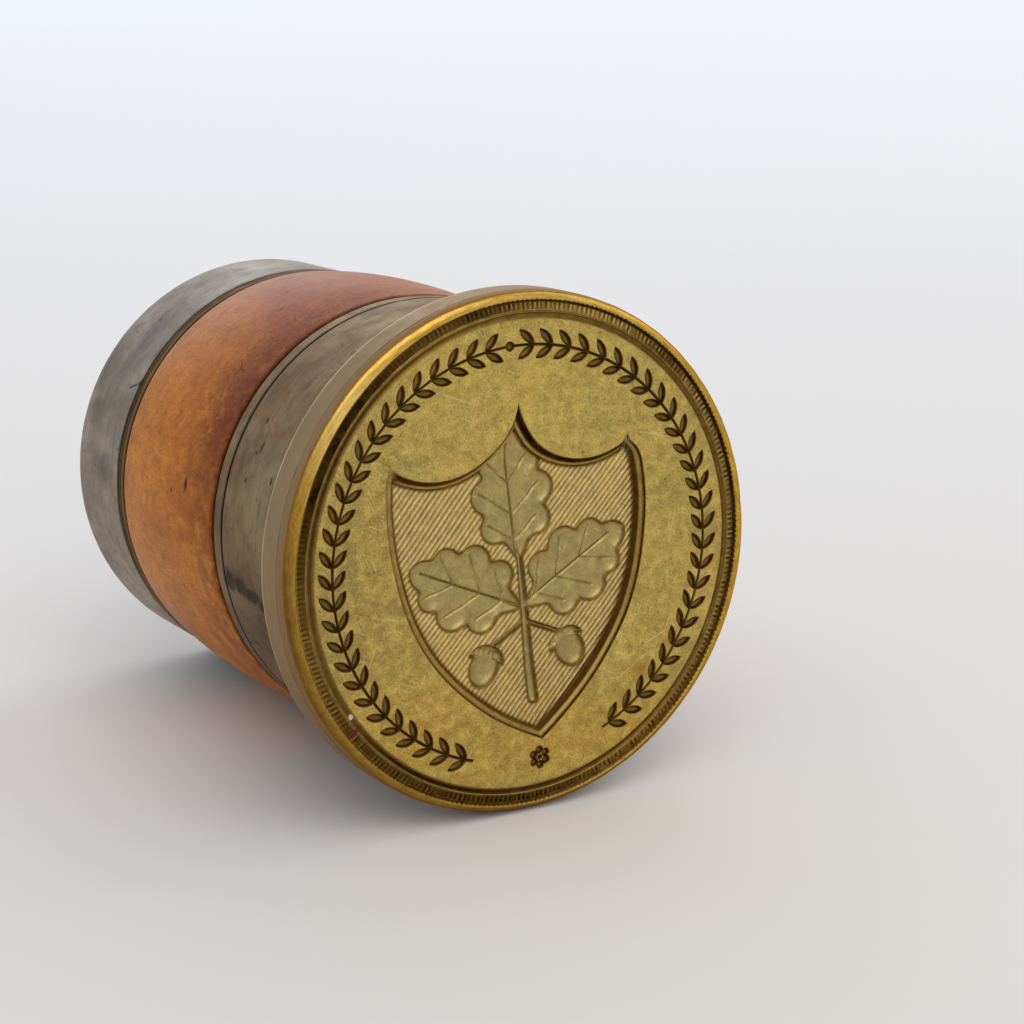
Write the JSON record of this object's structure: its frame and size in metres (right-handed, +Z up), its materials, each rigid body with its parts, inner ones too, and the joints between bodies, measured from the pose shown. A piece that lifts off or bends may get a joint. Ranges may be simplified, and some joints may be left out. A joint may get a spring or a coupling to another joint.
{
  "type": "desk seal",
  "caption": "Hand seal for wax with an engraved brass die in a flanged brass holder that unscrews, a turned wood grip and a brass cap to stand on.",
  "frame": {"origin": "centre of the flat rear end of the cap, where the seal stands", "axes": "+Z up the axis to the engraved face, +Y to the top of the face as it lies in the picture"},
  "size_m": [0.034, 0.034, 0.0407],
  "materials": {
    "brass_bright": "satin, worn, with a mottled patina",
    "brass_dark": "dark patina, satin, spotted",
    "wood": "polished",
    "steel": "plain",
    "leather": "matt"
  },
  "bodies": {
    "handle": {"front_bush": "brass_dark", "bush_pins": "steel", "grip": "wood", "rear_ferrule": "brass_bright", "rear_cap": "brass_dark", "cap_pins": "steel", "handle_screw": "steel", "screw_washer": "steel", "cap_plug": "brass_dark"},
    "washer": {"seat_washer": "leather"},
    "head": {"seal_die": "brass_bright", "die_holder": "brass_dark", "die_stud": "steel", "lock_nut": "steel"}
  },
  "joints": [
    {"name": "head_lift", "type": "slide", "parent": "handle", "child": "washer", "axis": [0, 0, 1], "range_m": [0, 0.0075]},
    {"name": "head_turn", "type": "hinge", "parent": "washer", "child": "head", "pos_m": [0, 0, 0.027], "axis": [0, 0, 1], "range_deg": [0, 1800]}
  ],
  "couplings": [
    {"joint": "head_turn", "follows": "head_lift", "rad_per_m": 4188.8}
  ]
}
